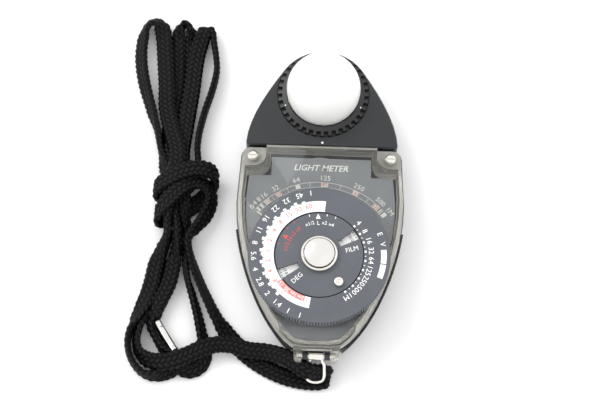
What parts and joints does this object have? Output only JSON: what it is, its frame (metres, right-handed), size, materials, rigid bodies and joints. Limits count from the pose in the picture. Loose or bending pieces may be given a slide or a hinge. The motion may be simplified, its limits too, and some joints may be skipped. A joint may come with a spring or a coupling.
{
  "type": "handheld light meter",
  "caption": "Handheld incident light meter: swivelling head with a domed diffuser, calculator dial, clear scale window, centre button and knotted neck cord.",
  "frame": {"origin": "centre of the underside of the meter's box, measured without the neck cord, on the surface that the meter lies on", "axes": "+Y along the meter from the strap ring to the head, +Z out of the dial's face, +X across"},
  "size_m": [0.0962, 0.1365, 0.0337],
  "materials": {
    "black_plastic": "satin moulded black plastic",
    "clear_acrylic": "clear moulded acrylic",
    "dial_black": "satin black anodised dial with printed scales",
    "plate_grey": "grey-black painted scale plate",
    "diffuser_white": "milky white moulded diffuser",
    "bright_metal": "satin chrome plating",
    "steel": "plain steel",
    "brass": "turned brass",
    "aluminium": "sheet aluminium",
    "copper_wire": "enamelled copper winding on a light frame",
    "needle_white": "white-painted pointer",
    "selenium": "dark selenium layer on a steel disc",
    "lead_red": "insulated lead",
    "lead_black": "insulated lead",
    "resistor_tan": "moulded resistor body",
    "cord_black": "woven flat braid"
  },
  "bodies": {
    "root": {"rear_case": "black_plastic", "rear_plate": "aluminium", "clear_cover": "clear_acrylic", "cover_screw_left": "bright_metal", "cover_screw_right": "bright_metal", "lug_bar": "bright_metal", "lug_spacer_left": "black_plastic", "lug_spacer_right": "black_plastic", "button_bezel": "bright_metal", "button_spring": "steel", "scale_plate": "plate_grey", "magnet_ring": "steel", "pole_core": "steel", "lower_bridge": "aluminium", "upper_bridge": "aluminium", "jewel_screw_lower": "brass", "jewel_screw_upper": "brass", "movement_screw_left": "steel", "movement_screw_right": "steel", "hairspring_lower": "brass", "hairspring_upper": "brass", "brake_bracket": "steel", "calibration_resistor": "resistor_tan", "movement_lead": "lead_red", "swivel_bush": "brass", "dial_post": "brass", "dial_washer": "steel", "cord_hank_upper": "cord_black", "cord_knot": "cord_black", "cord_hank_lower": "cord_black", "cord_ferrule": "bright_metal", "cord_run_upper": "cord_black", "cord_run_lower": "cord_black"},
    "dial": {"dial_ring": "dial_black"},
    "speed_dial": {"speed_disc": "dial_black", "speed_pin": "bright_metal"},
    "button": {"button_cap": "bright_metal"},
    "pointer": {"moving_coil": "copper_wire", "staff_lower": "steel", "staff_upper": "steel", "needle": "needle_white"},
    "zero_adjuster": {"zero_screw": "brass"},
    "zero_arm": {"zero_lever": "brass"},
    "brake": {"brake_lever": "steel"},
    "head": {"head_front_shell": "black_plastic", "head_rear_shell": "black_plastic", "head_screw_left": "steel", "head_screw_right": "steel", "photocell": "selenium", "contact_ring": "brass", "rear_contact": "brass", "cell_lead": "lead_black", "swivel_tube": "steel", "swivel_clip": "steel", "swivel_washer": "steel"},
    "diffuser": {"dome_ring": "black_plastic", "diffuser_dome": "diffuser_white"},
    "strap_loop": {"strap_ring": "bright_metal", "cord_bight": "cord_black"}
  },
  "joints": [
    {"name": "head_swivel", "type": "hinge", "parent": "root", "child": "head", "pos_m": [0, 0.02229, 0.008], "axis": [0, 1, 0], "range_deg": [-90, 180]},
    {"name": "diffuser_turn", "type": "hinge", "parent": "head", "child": "diffuser", "pos_m": [0, 0.04299, 0.0155], "axis": [0, 0, 1], "range_deg": [0, 35]},
    {"name": "dial_turn", "type": "hinge", "parent": "root", "child": "dial", "pos_m": [0, -0.01961, 0.0204], "axis": [0, 0, 1], "continuous": true},
    {"name": "speed_dial_turn", "type": "hinge", "parent": "dial", "child": "speed_dial", "pos_m": [0, -0.01961, 0.0225], "axis": [0, 0, 1], "range_deg": [-75, 75]},
    {"name": "button_press", "type": "slide", "parent": "root", "child": "button", "axis": [0, 0, -1], "range_m": [0, 0.0012], "stiffness_N_per_m": 600, "springref_m": -0.0008, "deforming": ["button_spring"]},
    {"name": "needle_swing", "type": "hinge", "parent": "root", "child": "pointer", "pos_m": [0, -0.01961, 0.008], "axis": [0, 0, 1], "range_deg": [-103, 0], "stiffness_Nm_per_rad": 0.00002, "springref_deg": 2.86},
    {"name": "zero_screw_turn", "type": "hinge", "parent": "root", "child": "zero_adjuster", "pos_m": [0, -0.03411, 0.001], "axis": [0, 0, 1], "range_deg": [-60, 60]},
    {"name": "zero_arm_turn", "type": "hinge", "parent": "root", "child": "zero_arm", "pos_m": [0, -0.01961, 0.002], "axis": [0, 0, 1], "range_deg": [-6, 6]},
    {"name": "brake_tilt", "type": "hinge", "parent": "root", "child": "brake", "pos_m": [0, -0.02861, 0.01625], "axis": [-1, 0, 0], "range_deg": [0, 8]},
    {"name": "strap_ring_swing", "type": "hinge", "parent": "root", "child": "strap_loop", "pos_m": [0, -0.05191, 0.012], "axis": [1, 0, 0], "range_deg": [-80, 40]}
  ],
  "couplings": [
    {"joint": "zero_arm_turn", "follows": "zero_screw_turn", "ratio": -0.074074},
    {"joint": "brake_tilt", "follows": "button_press", "rad_per_m": 110}
  ]
}
